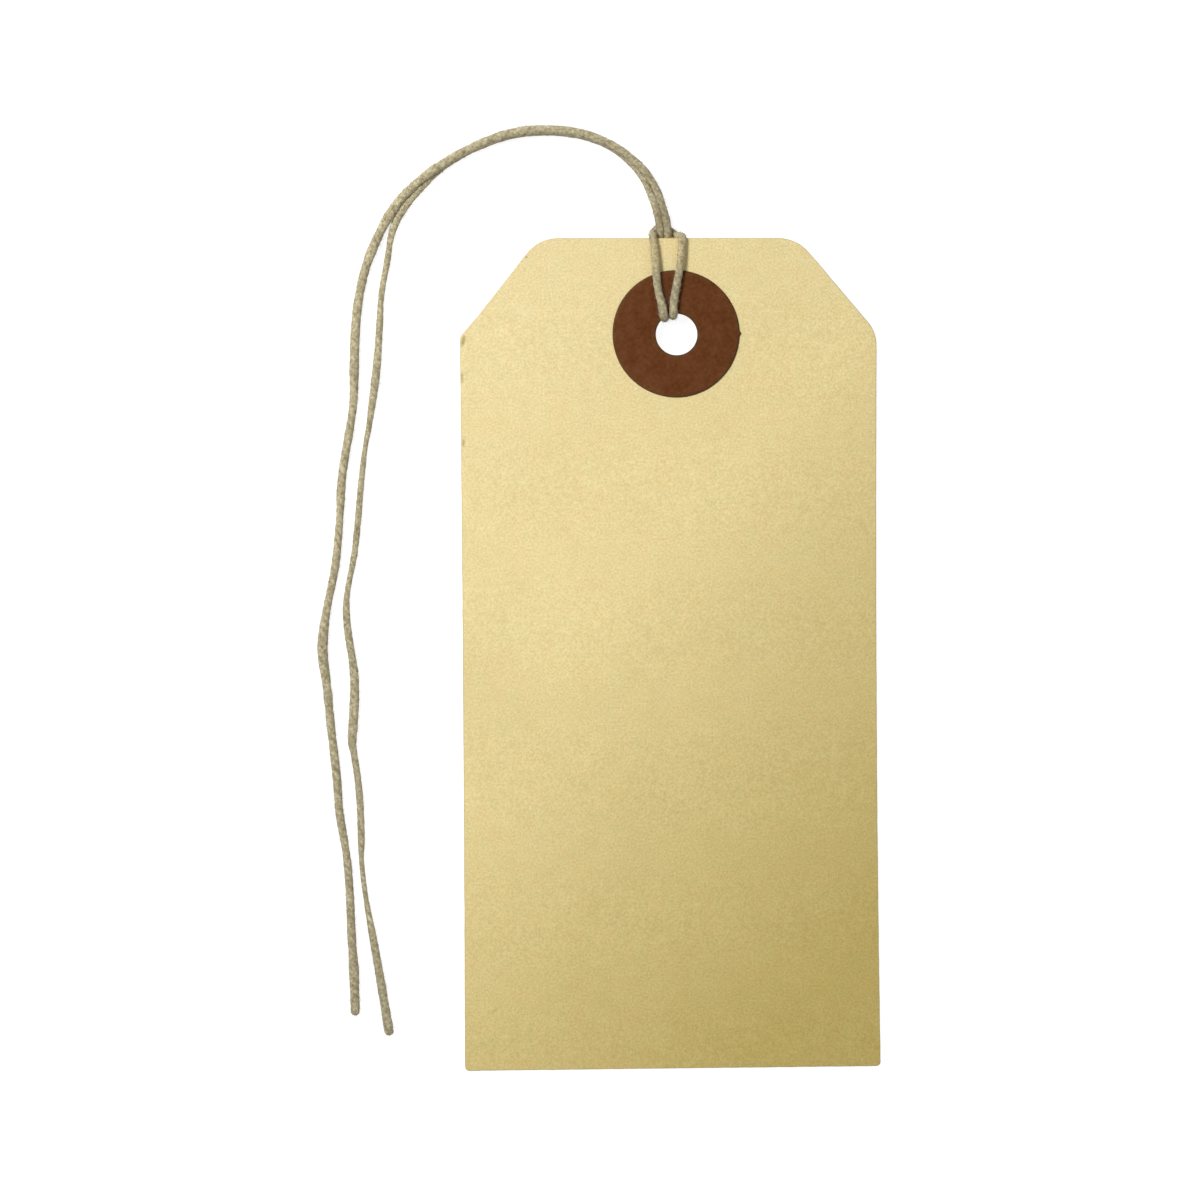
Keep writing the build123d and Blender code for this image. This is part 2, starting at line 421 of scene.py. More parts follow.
class StringLook(bpy.types.PropertyGroup):
    """Sizes and colours of the string."""

    diameter: size("Diameter", "Diameter of the string over its plies", STRING_DIAMETER * MM)
    pitch: size("Pitch", "Length of one turn of a ply", 3.4 * MM)
    ring: size("Ring spacing", "Distance from one ring of the mesh to the next", 0.13 * MM)
    tip: size("Tip", "Length of the rounded end of a tail", 0.5 * MM)
    groove: share("Groove", "Depth of the groove between plies, as a share of the radius", 0.06)
    swell: share("Swell", "How much the slack yarn adds to the girth", 0.08)
    fibre_length: size("Fibre length", "Length of the loose fibres that stand off the yarn", 0.4 * MM)
    fibre_width: size("Fibre width", "Thickness of a loose fibre at its root", 0.03 * MM)
    fibre_count: number("Fibre count", "Loose fibres on a square millimetre of yarn", 14)
    uneven: share("Unevenness", "How much the thickness varies along the string", 0.3)
    plies: number("Plies", "How many plies are twisted together", 3)
    wander: share("Twist wander", "How far the twist runs ahead or lags, in turns", 0.5)
    seed: number("Seed", "Seed of the uneven thickness", 7)
    cotton: colour("Cotton", "Colour of the yarn", srgb(184, 175, 144))
    # Soil and painted shade: the colour of the darker fibres and blotches, of the painted shade in the
    # grooves and of the darker neck.
    soil_and_shade: colour("Soil", "Colour in the grooves and of the darker fibres", srgb(122, 108, 78))
    # Painted light: the yarn over the hitch, lighter and yellower for light that the card bounces onto it.
    clean: colour("Lit yarn", "Colour of the yarn that the hitch keeps clean", srgb(202, 184, 136))


class StageLook(bpy.types.PropertyGroup):
    """Floor, lamps and camera."""

    camera_height: size("Camera height", "Height of the camera over the table", 0.5)
    floor_half: size("Floor", "Half the side of the floor", 1.5)
    lamp_power: power("Lamp power", "Power of the main lamp", 3.44)
    lamp_size: size("Lamp size", "Side of the main lamp", 180 * MM)
    lamp_place: location("Lamp place", "Middle of the main lamp", (-174 * MM, 174 * MM, 315 * MM))
    lamp_aim: location("Lamp aim", "Place that the main lamp faces", (-400 * MM, 225 * MM, 0.0))
    bounce_power: power("Bounce power", "Power of the weak lamp across from the main one", 0.24)
    bounce_size: size("Bounce size", "Side of the weak lamp", 240 * MM)
    bounce_place: location(
        "Bounce place", "Middle of the weak lamp, which faces the origin", (250 * MM, -180 * MM, 250 * MM))
    fill: share("Fill", "Strength of the even light from all round", 0.37)
    floor_white: share("Floor white", "White that the floor shows by itself", 0.9)
    floor_shade: share("Floor shade", "Part of the floor's look that takes shadows", 0.28)


def on_card(across, along, above):
    """A point given from the middle of the card's foot edge, in the leaning card's own directions."""
    return Vector((
        across,
        FOOT_Y + along * math.cos(CARD_LEAN) - above * math.sin(CARD_LEAN),
        along * math.sin(CARD_LEAN) + above * math.cos(CARD_LEAN),
    ))


def ease(value, low, high):
    """0 below low, 1 above high and a smooth step between."""
    part = min(max((value - low) / (high - low), 0.0), 1.0)
    return part * part * (3 - 2 * part)


def add_object(name, data):
    """An object in the scene that shows the given data."""
    made = bpy.data.objects.new(name, data)
    bpy.context.scene.collection.objects.link(made)
    return made


def add_node(tree, kind, inputs=None, **settings):
    """A node with its settings and inputs, which are values or sockets to link."""
    node = tree.nodes.new(kind)
    for name, value in settings.items():
        setattr(node, name, value)
    for key, value in (inputs or {}).items():
        socket = node.inputs[key]
        if isinstance(value, bpy.types.NodeSocket):
            tree.links.new(value, socket)
        else:
            socket.default_value = value
    return node


def output_of(tree, kind, inputs=None, **settings):
    """The first output of a new node."""
    return add_node(tree, kind, inputs, **settings).outputs[0]


def maths(tree, operation, first, second=0.0):
    """The output of a math node."""
    return output_of(tree, "ShaderNodeMath", {0: first, 1: second}, operation=operation)


def vector_maths(tree, operation, *vectors):
    """The vector that a vector math node gives."""
    return output_of(tree, "ShaderNodeVectorMath", dict(enumerate(vectors)), operation=operation)


def scaled(tree, value, factor, offset):
    """A value times a factor, plus an offset."""
    return maths(tree, "ADD", maths(tree, "MULTIPLY", value, factor), offset)


def swing(tree, value, amount):
    """A value about a half as a change about zero."""
    return maths(tree, "MULTIPLY", maths(tree, "SUBTRACT", value, 0.5), amount)


def mix_colours(tree, factor, first, second):
    """The output of a mix node, whose sockets for colours come after those for values and vectors."""
    return add_node(tree, "ShaderNodeMix", {0: factor, 6: first, 7: second}, data_type="RGBA").outputs[2]


def noise_value(tree, place, scale, detail=2.0, roughness=0.5):
    """A noise texture's value, with its scale in features a metre."""
    inputs = {"Vector": place, "Scale": scale, "Detail": detail, "Roughness": roughness}
    return output_of(tree, "ShaderNodeTexNoise", inputs)


def noise_layers(tree, place, layers):
    """The sum of noise layers about zero, each given as (features a metre, detail, amount)."""
    total = None
    for scale, detail, amount in layers:
        layer = swing(tree, noise_value(tree, place, scale, detail), amount)
        total = layer if total is None else maths(tree, "ADD", total, layer)
    return total


def stretched(tree, place, scale, turn=0.0):
    """A place turned about Z and scaled, for streaks that run one way."""
    inputs = {"Vector": place, "Rotation": (0.0, 0.0, turn), "Scale": scale}
    return output_of(tree, "ShaderNodeMapping", inputs)


def mark(tree, place, middle, reach, turn, depth):
    """A mark's depth at its middle, falling to 0 at the edge of its ellipse, given in millimetres."""
    ellipse = {
        "Vector": place, "Location": (middle[0] * MM, middle[1] * MM, 0.0), "Rotation": (0.0, 0.0, turn),
        "Scale": (reach[0] * MM, reach[1] * MM, 1.0)}
    spoke = output_of(tree, "ShaderNodeMapping", ellipse, vector_type="TEXTURE")
    far = add_node(tree, "ShaderNodeVectorMath", {0: spoke}, operation="LENGTH").outputs["Value"]
    inputs = {0: far, 1: MARK_CORE_SHARE, 2: 1.0, 3: 1.0, 4: 0.0}
    strength = output_of(tree, "ShaderNodeMapRange", inputs, interpolation_type="SMOOTHSTEP")
    return maths(tree, "MULTIPLY", strength, depth)


def attribute(tree, name, output="Fac"):
    """What the mesh's attribute of that name holds."""
    return add_node(tree, "ShaderNodeAttribute", attribute_name=name).outputs[output]


def new_material(name):
    """A material, the tree in it, its principled shader and the place on the object."""
    material = bpy.data.materials.new(name)
    material.use_nodes = True
    tree = material.node_tree
    place = add_node(tree, "ShaderNodeTexCoord").outputs["Object"]
    return material, tree, tree.nodes["Principled BSDF"], place


def tinted(tree, colour_from, change, tint):
    """A colour whose channels grow by the change times the tint, and stop at black."""
    growth = vector_maths(tree, "MULTIPLY_ADD", tint, change, (1.0, 1.0, 1.0))
    grown = vector_maths(tree, "MULTIPLY", colour_from, growth)
    return vector_maths(tree, "MAXIMUM", grown, (0.0, 0.0, 0.0))


def finish_surface(tree, shader, colour_from, roughness, height, depth, shine):
    """Gives the shader a surface's colour, roughness, bump and shine."""
    tree.links.new(colour_from, shader.inputs["Base Color"])
    tree.links.new(roughness, shader.inputs["Roughness"])
    bump = output_of(tree, "ShaderNodeBump", {"Height": height, "Strength": 1.0, "Distance": depth})
    tree.links.new(bump, shader.inputs["Normal"])
    shader.inputs["Specular IOR Level"].default_value = shine


def manila_material(look):
    """Manila stock: painted light and shade from corner to corner, cloudy mottling, fine grain, loose
    fibres, and stains and nicks with some painted shade.
    """
    material, tree, shader, place = new_material("manila_stock")
    axes = add_node(tree, "ShaderNodeSeparateXYZ", {0: place}).outputs
    # Painted light and shade: the stock's colour changes from corner to corner along x minus y, as the light
    # fell over the card.
    slope = maths(tree, "SUBTRACT", axes[0], axes[1])
    first, second, third = STOCK_SHADE_STOPS
    above = output_of(tree, "ShaderNodeMapRange", {0: slope, 1: first, 2: second})
    below = output_of(tree, "ShaderNodeMapRange", {0: slope, 1: second, 2: third})
    face = mix_colours(tree, below, mix_colours(tree, above, look.upper, look.middle), look.lower)
    stock = mix_colours(tree, attribute(tree, "cut_edge"), face, look.cut)
    # Stains and nicks, and painted shade on the worn left edge and broadly over the left side.
    for marking in MARKS_AND_PAINTED_SHADE:
        stock = mix_colours(tree, mark(tree, place, *marking), stock, look.stain_and_shade)
    grain = noise_layers(tree, place, STOCK_GRAIN)
    for turn in STREAK_TURNS:
        streak = noise_value(tree, stretched(tree, place, STREAK_SCALE, turn), 1.0)
        streak = maths(tree, "SUBTRACT", maths(tree, "MAXIMUM", streak, STREAK_LEVEL), STREAK_LEVEL)
        grain = maths(tree, "ADD", grain, maths(tree, "MULTIPLY", streak, STREAK_DEPTH))
    rough = scaled(tree, grain, factor=0.5, offset=0.74)
    stock = tinted(tree, stock, noise_layers(tree, place, STOCK_CLOUDS), STOCK_CLOUD_TINT)
    stock = tinted(tree, stock, grain, STOCK_GRAIN_TINT)
    finish_surface(tree, shader, stock, rough, grain, depth=0.05 * MM, shine=0.12)
    return material


def fibre_material(look):
    """Red-brown fibre: leathery mottling, fine grain and a cut rim of its own colour."""
    material, tree, shader, place = new_material("vulcanised_fibre")
    body = mix_colours(tree, attribute(tree, "cut_edge"), look.fibre, look.cut)
    grain = noise_layers(tree, place, FIBRE_GRAIN)
    rough = scaled(tree, grain, factor=0.25, offset=0.66)
    body = tinted(tree, body, noise_layers(tree, place, FIBRE_CLOUDS), FIBRE_CLOUD_TINT)
    body = tinted(tree, body, grain, FIBRE_GRAIN_TINT)
    finish_surface(tree, shader, body, rough, grain, depth=0.03 * MM, shine=0.06)
    return material


def cotton_material(look):
    """Twisted cotton: fibres that follow the plies, painted shade in the grooves, blotches along the yarn
    and specks, painted bounce light over the hitch and darker yarn at the neck.
    """
    material, tree, shader, place = new_material("cotton_string")
    axes = add_node(tree, "ShaderNodeSeparateXYZ", {0: attribute(tree, "ply_place", "Vector")}).outputs
    along = maths(tree, "MULTIPLY", attribute(tree, "run"), YARN_FEATURES)
    yarn_place = output_of(tree, "ShaderNodeCombineXYZ", {0: axes[0], 1: axes[1], 2: along})
    drawn_out = stretched(tree, yarn_place, YARN_FIBRE_STRETCH)
    fibres = noise_value(tree, drawn_out, 1.0, detail=3, roughness=0.65)
    blotch = noise_value(tree, stretched(tree, yarn_place, YARN_BLOTCH_STRETCH), 1.0)
    # Painted shade in the grooves, with even soil and blotches.
    darkening = scaled(tree, attribute(tree, "groove"), GROOVE_SHADE, EVEN_SOIL)
    darkening = maths(tree, "ADD", darkening, swing(tree, blotch, BLOTCH_SOIL))
    darkening = output_of(tree, "ShaderNodeClamp", {0: darkening})
    yarn = mix_colours(tree, darkening, look.cotton, look.soil_and_shade)
    # Painted light: lighter, yellower yarn over the hitch, for light that the card bounces onto it.
    yarn = mix_colours(tree, mark(tree, place, *PAINTED_BOUNCE_LIGHT), yarn, look.clean)
    # Yarn darker at the neck.
    yarn = mix_colours(tree, mark(tree, place, *DARKER_NECK_YARN), yarn, look.soil_and_shade)
    change = swing(tree, fibres, YARN_FIBRE_CHANGE)
    change = maths(tree, "ADD", change, noise_layers(tree, place, YARN_SPECKS))
    yarn = tinted(tree, yarn, change, YARN_TINT)
    rough = scaled(tree, fibres, factor=0.2, offset=0.68)
    finish_surface(tree, shader, yarn, rough, fibres, depth=0.05 * MM, shine=0.1)
    shader.inputs["Subsurface Weight"].default_value = 0.7
    shader.inputs["Subsurface Radius"].default_value = (1.0, 0.95, 0.8)
    shader.inputs["Subsurface Scale"].default_value = 0.35 * MM
    return material


def rounded_outline(corners, step):
    """Points anticlockwise round an outline with rounded corners, each (across, along, radius)."""
    arcs = []
    for index, (across, along, radius) in enumerate(corners):
        corner = Vector((across, along))
        before = (Vector(corners[index - 1][:2]) - corner).normalized()
        after = (Vector(corners[(index + 1) % len(corners)][:2]) - corner).normalized()
        half = before.angle(after) / 2
        centre = corner + (before + after).normalized() * (radius / math.sin(half))
        spoke = corner + before * (radius / math.tan(half)) - centre
        sweep = math.copysign(math.pi - 2 * half, after.cross(before))
        count = max(4, math.ceil(abs(sweep) * radius / step))
        start = math.atan2(spoke.y, spoke.x)
        turns = [start + sweep * part / count for part in range(count + 1)]
        arcs.append([centre + radius * Vector((math.cos(turn), math.sin(turn))) for turn in turns])
    points = []
    for arc, following in zip(arcs, arcs[1:] + arcs[:1]):
        points.extend(arc)
        run = following[0] - arc[-1]
        count = max(1, round(run.length / step))
        points.extend(arc[-1] + run * (part / count) for part in range(1, count))
    return points


def circle_outline(centre, radius, step):
    """Points anticlockwise round a circle."""
    count = math.ceil(2 * math.pi * radius / step)
    turns = [2 * math.pi * part / count for part in range(count)]
    return [
        Vector((centre[0] + radius * math.cos(turn), centre[1] + radius * math.sin(turn)))
        for turn in turns]


def outward(points):
    """The unit normal at each point of an anticlockwise outline."""
    normals = []
    for index in range(len(points)):
        along = points[(index + 1) % len(points)] - points[index - 1]
        normals.append(Vector((along.y, -along.x)).normalized())
    return normals


def inset_by(points, normals, inset):
    """An outline moved against its normals."""
    return [point - normal * inset for point, normal in zip(points, normals)]


def wavered(points, waver, features):
    """An outline moved in and out a little, as a cut line wanders, with its features in a metre."""
    moved = []
    for point, normal in zip(points, outward(points)):
        wander = noise.noise(Vector((point.x * features, point.y * features, CUT_LAYER)))
        moved.append(point + normal * (waver * wander))
    return moved


def edge_profile(thickness, rounding):
    """Rings of a cut edge from the face down to the back, each as (inset, height)."""
    upper = []
    for part in range(CUT_EDGE_STEPS + 1):
        turn = math.pi / 2 * part / CUT_EDGE_STEPS
        upper.append((rounding * (1 - math.sin(turn)), thickness - rounding * (1 - math.cos(turn))))
    lower = [(inset / 2, (thickness - height) / 2) for inset, height in reversed(upper)]
    support = rounding / 2
    face = (rounding + support, thickness)
    back = (rounding / 2 + support, 0.0)
    return [face, *upper, *lower, back]


def points_inside(outline, hole, spacing):
    """A triangular grid of points between an outline and its hole, clear of both."""
    rim = np.array([tuple(point) for point in outline])
    inner = np.array([tuple(point) for point in hole])
    low, high = rim.min(0), rim.max(0)
    row_gap = spacing * math.sqrt(3) / 2
    rows = int((high[1] - low[1]) / row_gap)
    columns = int((high[0] - low[0]) / spacing)
    grid = np.array([
        (low[0] + (column + 0.5 * (row % 2)) * spacing, low[1] + row * row_gap)
        for row in range(rows + 1) for column in range(columns + 2)])
    clear = GRID_CLEAR_SHARE * spacing
    following = np.roll(rim, -1, axis=0)
    kept = []
    for point in grid:
        if min(np.hypot(*(rim - point).T).min(), np.hypot(*(inner - point).T).min()) < clear:
            continue
        above = (rim[:, 1] > point[1]) != (following[:, 1] > point[1])
        a, b = rim[above], following[above]
        crossings = a[:, 0] + (point[1] - a[:, 1]) * (b[:, 0] - a[:, 0]) / (b[:, 1] - a[:, 1])
        if (crossings > point[0]).sum() % 2 == 1:
            kept.append(Vector(point))
    return kept


def piece_from(name, mesh, materials):
    """An object with the edited mesh as its own, smoothly shaded."""
    data = bpy.data.meshes.new(name)
    mesh.to_mesh(data)
    mesh.free()
    for material in materials:
        data.materials.append(material)
    data.shade_smooth()
    return add_object(name, data)


def die_cut_sheet(name, outline, hole, centre, thickness, rounding, spacing, lift, face_relief, material):
    """A closed sheet with rounded cut edges. lift is its back's height over the card's back, and
    face_relief gives what its face and back stand out at a place."""
    profile = edge_profile(thickness, rounding)
    rim_normals = outward(outline)
    hole_normals = [-normal for normal in outward(hole)]
    mesh = bmesh.new()
    cut_edge = mesh.verts.layers.float.new("cut_edge")

    def add_vertex(place, height, on_edge):
        face, back = face_relief(place.x, place.y)
        part = height / thickness
        above = lift + height + face * part + back * (1 - part)
        vertex = mesh.verts.new(on_card(place.x, place.y, above))
        vertex[cut_edge] = on_edge
        return vertex

    loops = []
    for points, normals in ((outline, rim_normals), (hole, hole_normals)):
        rings = []
        for index, (inset, height) in enumerate(profile):
            on_edge = 0.0 if index in (0, 1, len(profile) - 1) else 1.0
            places = inset_by(points, normals, inset)
            rings.append([add_vertex(place, height, on_edge) for place in places])
        for upper, lower in zip(rings, rings[1:]):
            for index in range(len(upper)):
                follow = (index + 1) % len(upper)
                mesh.faces.new((upper[index], lower[index], lower[follow], upper[follow]))
        loops.append(rings)
    for ring in (0, -1):
        inset, height = profile[ring]
        rim = inset_by(outline, rim_normals, inset)
        inner = inset_by(hole, hole_normals, inset)
        grid = points_inside(rim, inner, spacing)
        places = rim + inner + grid
        edges = [(index, (index + 1) % len(rim)) for index in range(len(rim))]
        edges += [(len(rim) + index, len(rim) + (index + 1) % len(inner)) for index in range(len(inner))]
        hole_reach = (inner[0] - centre).length
        made, _, faces, origins, _, _ = delaunay_2d_cdt(places, edges, [], 1, 1e-9)
        corners = loops[0][ring] + loops[1][ring] + [add_vertex(place, height, 0.0) for place in grid]
        for face in faces:
            middle = sum((made[index] for index in face), Vector((0.0, 0.0))) / len(face)
            if (middle - centre).length > hole_reach:
                mesh.faces.new([corners[origins[index][0]] for index in face])
    bmesh.ops.recalc_face_normals(mesh, faces=mesh.faces[:])
    if mesh.calc_volume(signed=True) < 0:
        bmesh.ops.reverse_faces(mesh, faces=mesh.faces[:])
    return piece_from(name, mesh, [material])


def seat(piece, node, body):
    """Sets a piece on its body in the place of its plain solid."""
    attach(piece, body)
    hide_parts(node)


class GIFT_TAG_OT_make_card(bpy.types.Operator):
    """Makes the die-cut manila card."""

    bl_idname = "gift_tag.make_card"
    bl_label = "Make card"

    def execute(self, context):
        look = context.scene.gift_tag_card
        eyelet_radius = context.scene.gift_tag_patches.eyelet_diameter / 2
        half = CARD_WIDTH / 2
        side_tops = {1: CARD_LENGTH - look.right_clip, -1: CARD_LENGTH - look.left_clip}
        waists = {1: look.right_waist, -1: look.left_waist}
        left_top = CARD_LENGTH + LEFT_SKEW_SHARE * look.top_skew
        right_top = CARD_LENGTH - RIGHT_SKEW_SHARE * look.top_skew
        corners = [
            (-half, -LEFT_SKEW_SHARE * look.foot_skew, look.corner_radius),
            (half, RIGHT_SKEW_SHARE * look.foot_skew, look.corner_radius),
            (half, side_tops[1], look.right_clip_radius),
            (half - look.right_clip_width, right_top, look.shoulder_radius),
            (look.left_clip_width - half, left_top, look.shoulder_radius),
            (look.bend_across - half, CARD_LENGTH - look.bend_along, look.bend_radius),
            (-half, side_tops[-1], look.left_clip_radius),
        ]
        outline = rounded_outline(corners, look.grid / 2)
        for point in outline:
            side = math.copysign(1, point.x)
            part = min(max(point.y / side_tops[side], 0.0), 1.0)
            if abs(point.x) > half - look.corner_radius:
                point.x -= side * waists[side] * 4 * part * (1 - part)
        outline = wavered(outline, look.edge_waver, CARD_CUT_FEATURES)
        centre = Vector((EYELET_ACROSS, EYELET_ALONG))
        hole = circle_outline(centre, eyelet_radius, look.grid / 3)

        def cockle(across, along):
            wave = noise.noise(Vector((across * COCKLE_FEATURES, along * COCKLE_FEATURES, COCKLE_LAYER)))
            away = (Vector((across, along)) - centre).length
            flat = ease(along, 0.0, FLAT_FOOT) * ease(away, PATCH_DIAMETER / 2, PATCH_DIAMETER)
            wave *= look.cockle * flat
            return wave, wave

        card = die_cut_sheet(
            "card", outline, hole, centre, CARD_THICKNESS, look.edge_rounding, look.grid, 0.0, cockle,
            manila_material(look))
        seat(card, "tag_card", "tag")
        return {"FINISHED"}


class GIFT_TAG_OT_make_patches(bpy.types.Operator):
    """Makes the two fibre patches glued round the eyelet."""

    bl_idname = "gift_tag.make_patches"
    bl_label = "Make patches"

    def execute(self, context):
        look = context.scene.gift_tag_patches
        material = fibre_material(look)
        centre = Vector((EYELET_ACROSS, EYELET_ALONG))
        middle = centre + Vector((-look.off_centre, look.off_centre))
        sides = (("front", CARD_THICKNESS, True), ("rear", -PATCH_THICKNESS, False))
        for side, lift, in_front in sides:
            outline = circle_outline(middle, PATCH_DIAMETER / 2 - look.edge_waver, look.grid / 2)
            outline = wavered(outline, look.edge_waver, PATCH_CUT_FEATURES)
            for point in outline:
                spoke = point - middle
                reach = spoke.y / (look.nib_width / 2)
                if in_front and spoke.x > 0:
                    point += spoke.normalized() * (look.nib_height * math.exp(-reach * reach))
            hole = circle_outline(centre, look.eyelet_diameter / 2, look.grid / 2)

            def relief(across, along):
                place = Vector((across * PATCH_FACE_FEATURES, along * PATCH_FACE_FEATURES, lift / MM))
                bumps = noise.noise(place) * look.unevenness
                return (bumps, 0.0) if in_front else (0.0, bumps)

            patch = die_cut_sheet(
                f"patch_{side}", outline, hole, centre, PATCH_THICKNESS, look.edge_rounding, look.grid,
                lift, relief, material)
            seat(patch, f"{side}_patch", "tag")
        return {"FINISHED"}


def tail_points(route, neck):
    """A tail's control points in metres, each with its girth. One without a height lies on the table."""
    points = []
    for right, up, girth, *lifts in route:
        lift = lifts[0] if lifts else round(TABLE_LIFT_SHARE * girth, 2)
        points.append((Vector((neck[0] + right, neck[1] + up, lift * STRING_DIAMETER)) * MM, girth))
    return points


def string_points():
    """The whole string's control points with their girths: inner tail from its end, hitch, outer tail."""
    inner = tail_points(INNER_TAIL_ROUTE, LEFT_NECK)
    outer = tail_points(OUTER_TAIL_ROUTE, RIGHT_NECK)
    hitch = [(Vector(place) * MM, girth) for *place, girth in HITCH_ROUTE]
    return inner[::-1] + hitch + outer


def plain_mesh(holder):
    """The mesh that an object's curve or modifier gives. The object is removed."""
    bpy.context.view_layer.update()
    graph = bpy.context.evaluated_depsgraph_get()
    mesh = bpy.data.meshes.new_from_object(holder.evaluated_get(graph))
    bpy.data.objects.remove(holder)
    return mesh


def smooth_line(points):
    """Points read from the smooth curve that a string's control points make."""
    curve = bpy.data.curves.new("string_line", "CURVE")
    curve.dimensions = "3D"
    spline = curve.splines.new("NURBS")
    spline.points.add(len(points) - 1)
    for place, (point, _) in zip(spline.points, points):
        place.co = (*point, 1.0)
    spline.order_u = 3
    spline.use_endpoint_u = True
    spline.resolution_u = LINE_STEPS
    line = plain_mesh(add_object("string_line", curve))
    places = [vertex.co.copy() for vertex in line.vertices]
    bpy.data.curves.remove(curve)
    bpy.data.meshes.remove(line)
    return places


def run_lengths(line):
    """How far along the line each of its points is."""
    runs = [0.0]
    for first, second in zip(line, line[1:]):
        runs.append(runs[-1] + (second - first).length)
    return runs


def nearest_run(line, runs, place):
    """How far along the line the point nearest to a place is."""
    index = min(range(len(line)), key=lambda number: (line[number] - place).length)
    return runs[index]


def store(tree, geometry, name, value, kind="FLOAT"):
    """Geometry whose points keep a value under a name."""
    inputs = {"Geometry": geometry, "Name": name, "Value": value}
    return output_of(tree, "GeometryNodeStoreNamedAttribute", inputs, data_type=kind, domain="POINT")


def recall(tree, name):
    """The value that points keep under a name."""
    return output_of(tree, "GeometryNodeInputNamedAttribute", {"Name": name}, data_type="FLOAT")


def run_noise(tree, run, features, detail):
    """Noise along the string, with its features in a metre."""
    inputs = {"W": run, "Scale": features, "Detail": detail}
    return output_of(tree, "ShaderNodeTexNoise", inputs, noise_dimensions="1D")


def ply_section(tree, given, spot):
    """The string's section: a circle with a groove between each two plies."""
    corners = maths(tree, "MULTIPLY", given["Plies"], POINTS_PER_PLY)
    circle = output_of(tree, "GeometryNodeCurvePrimitiveCircle", {"Resolution": corners, "Radius": 1.0})
    axes = add_node(tree, "ShaderNodeSeparateXYZ", {0: spot}).outputs
    turn = maths(tree, "ARCTAN2", axes[1], axes[0])
    half_turns = maths(tree, "MULTIPLY", turn, maths(tree, "DIVIDE", given["Plies"], 2.0))
    lobe = maths(tree, "ABSOLUTE", maths(tree, "COSINE", half_turns))
    section = store(tree, circle, "groove", maths(tree, "SUBTRACT", 1.0, lobe))
    section = store(tree, section, "ply_place", spot, "FLOAT_VECTOR")
    dip = maths(tree, "MULTIPLY", recall(tree, "groove"), given["Groove"])
    reach = {0: spot, "Scale": maths(tree, "SUBTRACT", 1.0, dip)}
    drawn_in = output_of(tree, "ShaderNodeVectorMath", reach, operation="SCALE")
    return output_of(tree, "GeometryNodeSetPosition", {"Geometry": section, "Position": drawn_in})


def twisted_path(tree, given, run, seeded):
    """The path in even rings, each with its distance along the string and its twist."""
    path = output_of(tree, "GeometryNodeMeshToCurve", {"Mesh": given["Path"]})
    rings = {"Curve": path, "Length": given["Ring spacing"]}
    path = output_of(tree, "GeometryNodeResampleCurve", rings, mode="LENGTH")
    path = output_of(tree, "GeometryNodeSetCurveNormal", {"Curve": path}, mode="MINIMUM_TWIST")
    path = store(tree, path, "run", run)
    lag = maths(tree, "MULTIPLY", run_noise(tree, seeded, TWIST_FEATURES, detail=1.0), given["Wander"])
    turns = maths(tree, "ADD", maths(tree, "DIVIDE", run, given["Pitch"]), lag)
    tilt = maths(tree, "MULTIPLY", turns, -2 * math.pi)
    return output_of(tree, "GeometryNodeSetCurveTilt", {"Curve": path, "Tilt": tilt})


def string_thickness(tree, given, run, seeded):
    """The string's radius along it: each stretch's girth, uneven yarn and rounded ends."""
    lumps = swing(tree, run_noise(tree, seeded, LUMP_FEATURES, detail=3.0), given["Unevenness"])
    whole = add_node(tree, "GeometryNodeSplineLength").outputs["Length"]
    to_end = maths(tree, "MINIMUM", run, maths(tree, "SUBTRACT", whole, run))
    to_end = maths(tree, "MINIMUM", maths(tree, "DIVIDE", to_end, given["Tip"]), 1.0)
    gone = maths(tree, "SUBTRACT", 1.0, to_end)
    taper = maths(tree, "SUBTRACT", BLUNT_END, maths(tree, "MULTIPLY", gone, gone))
    girth = maths(tree, "MULTIPLY", recall(tree, "girth"), maths(tree, "SQRT", taper))
    thickness = maths(tree, "MULTIPLY", maths(tree, "ADD", lumps, 1.0), girth)
    return maths(tree, "MULTIPLY", thickness, given["Radius"])


def loose_fibres(tree, given, string, spot):
    """Thin bent cones that stand off the yarn, except where it lies on the table."""
    inputs = {
        "Vertices": 3, "Side Segments": 3, "Radius Top": 0.0, "Radius Bottom": given["Fibre radius"],
        "Depth": given["Fibre length"]}
    cone = add_node(tree, "GeometryNodeMeshCone", inputs).outputs["Mesh"]
    up = add_node(tree, "ShaderNodeSeparateXYZ", {0: spot}).outputs[2]
    bend = maths(tree, "DIVIDE", maths(tree, "MULTIPLY", up, up), given["Fibre length"])
    aside = output_of(tree, "ShaderNodeCombineXYZ", {0: maths(tree, "MULTIPLY", bend, FIBRE_BEND)})
    fibre = output_of(tree, "GeometryNodeSetPosition", {"Geometry": cone, "Offset": aside})
    inputs = {
        "Mesh": string, "Selection": maths(tree, "GREATER_THAN", up, FIBRE_CLEAR),
        "Density": given["Fibre density"], "Seed": given["Seed"]}
    roots = add_node(tree, "GeometryNodeDistributePointsOnFaces", inputs).outputs
    inputs = {
        "Min": (-FIBRE_LEAN, -FIBRE_LEAN, 0.0), "Max": (FIBRE_LEAN, FIBRE_LEAN, 2 * math.pi),
        "Seed": given["Seed"]}
    lean = output_of(tree, "FunctionNodeRandomValue", inputs, data_type="FLOAT_VECTOR")
    leant = output_of(tree, "FunctionNodeEulerToRotation", {0: lean})
    inputs = {0: roots["Rotation"], 1: leant}
    stance = output_of(tree, "FunctionNodeRotateRotation", inputs, rotation_space="LOCAL")
    inputs = {"Points": roots["Points"], "Instance": fibre, "Rotation": stance}
    return output_of(tree, "GeometryNodeInstanceOnPoints", inputs)


